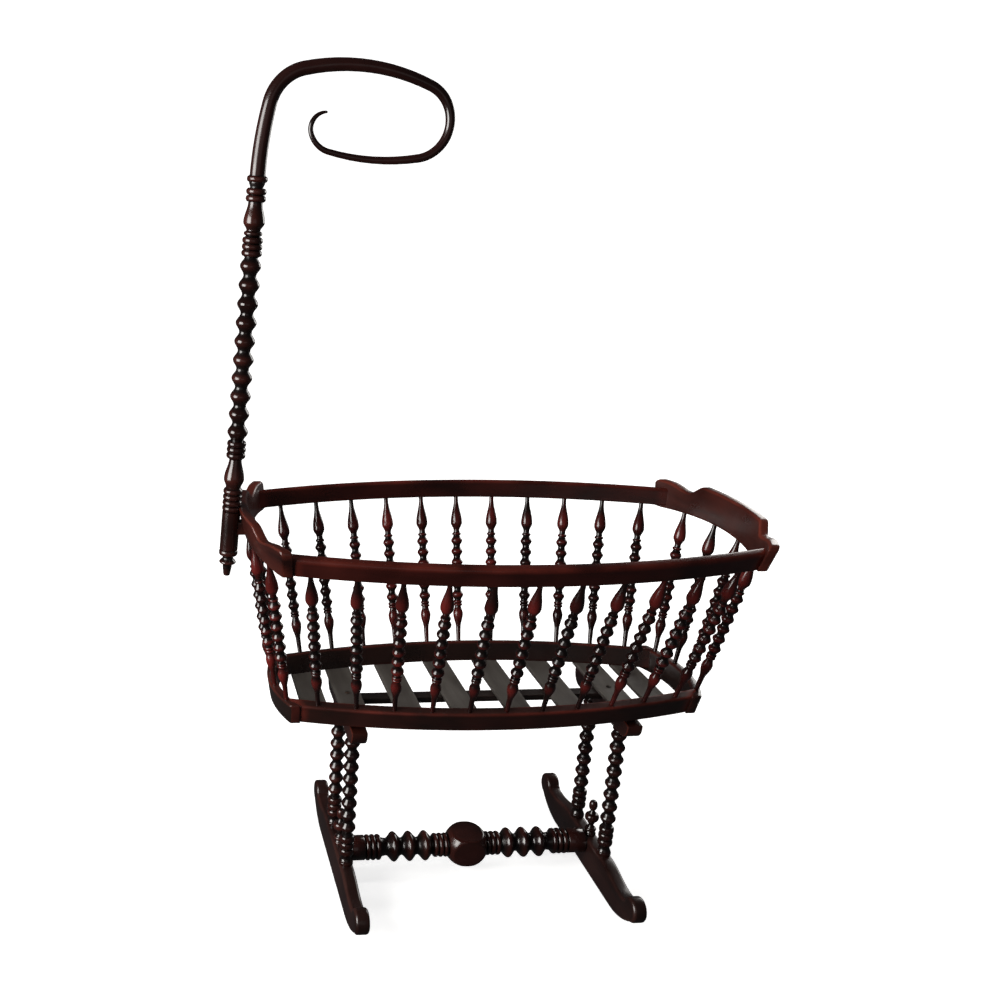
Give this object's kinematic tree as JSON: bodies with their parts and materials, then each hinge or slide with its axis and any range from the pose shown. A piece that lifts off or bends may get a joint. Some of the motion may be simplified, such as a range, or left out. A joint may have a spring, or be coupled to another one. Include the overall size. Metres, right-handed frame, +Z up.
{
  "type": "swinging cradle on stand",
  "caption": "Turned wooden cradle: a boat-shaped spindle basket with a crooked mast swings on a low trestle stand with upturned feet.",
  "frame": {"origin": "on the floor, at the middle of the whole outline seen from above", "axes": "+Z up, +X towards the foot end (the mast is at the head, -X), +Y towards the back"},
  "size_m": [1.1695, 0.641, 1.8112],
  "materials": {
    "mahogany": "reddish-brown polished hardwood, worn at the edges",
    "dark_turned_wood": "near-black brown polished turned hardwood",
    "slat_wood": "dull grey-brown bare boards",
    "iron": "dull darkened iron screws and nails"
  },
  "bodies": {
    "stand": {"head_foot": "dark_turned_wood", "foot_foot": "dark_turned_wood", "head_cap": "dark_turned_wood", "foot_cap": "dark_turned_wood", "head_front_post": "dark_turned_wood", "head_back_post": "dark_turned_wood", "foot_front_post": "dark_turned_wood", "foot_back_post": "dark_turned_wood", "head_finial": "dark_turned_wood", "foot_finial": "dark_turned_wood", "lower_stretcher": "dark_turned_wood"},
    "basket": {"keel": "dark_turned_wood", "keel_screws": "iron", "slat_nails": "iron", "front_bottom_rail": "mahogany", "back_bottom_rail": "mahogany", "front_top_rail": "mahogany", "back_top_rail": "mahogany", "headboard": "mahogany", "footboard": "mahogany", "head_low_board": "mahogany", "foot_low_board": "mahogany", "head_spindles": "dark_turned_wood", "foot_spindles": "dark_turned_wood", "mast": "dark_turned_wood", "mast_block": "mahogany", "mast_screws": "iron", "crook": "mahogany", "floor_slat_1": "slat_wood", "floor_slat_2": "slat_wood", "floor_slat_3": "slat_wood", "floor_slat_4": "slat_wood", "floor_slat_5": "slat_wood", "floor_slat_6": "slat_wood", "floor_slat_7": "slat_wood", "floor_slat_8": "slat_wood", "front_spindle_1": "dark_turned_wood", "front_spindle_2": "dark_turned_wood", "front_spindle_3": "dark_turned_wood", "front_spindle_4": "dark_turned_wood", "front_spindle_5": "dark_turned_wood", "front_spindle_6": "dark_turned_wood", "front_spindle_7": "dark_turned_wood", "front_spindle_8": "dark_turned_wood", "front_spindle_9": "dark_turned_wood", "front_spindle_10": "dark_turned_wood", "front_spindle_11": "dark_turned_wood", "back_spindle_1": "dark_turned_wood", "back_spindle_2": "dark_turned_wood", "back_spindle_3": "dark_turned_wood", "back_spindle_4": "dark_turned_wood", "back_spindle_5": "dark_turned_wood", "back_spindle_6": "dark_turned_wood", "back_spindle_7": "dark_turned_wood", "back_spindle_8": "dark_turned_wood", "back_spindle_9": "dark_turned_wood", "back_spindle_10": "dark_turned_wood", "back_spindle_11": "dark_turned_wood"}
  },
  "joints": [
    {"name": "basket_swing", "type": "hinge", "parent": "stand", "child": "basket", "pos_m": [0.01944, 0, 0.45338], "axis": [1, 0, 0], "range_deg": [-4.5, 4.5]}
  ]
}
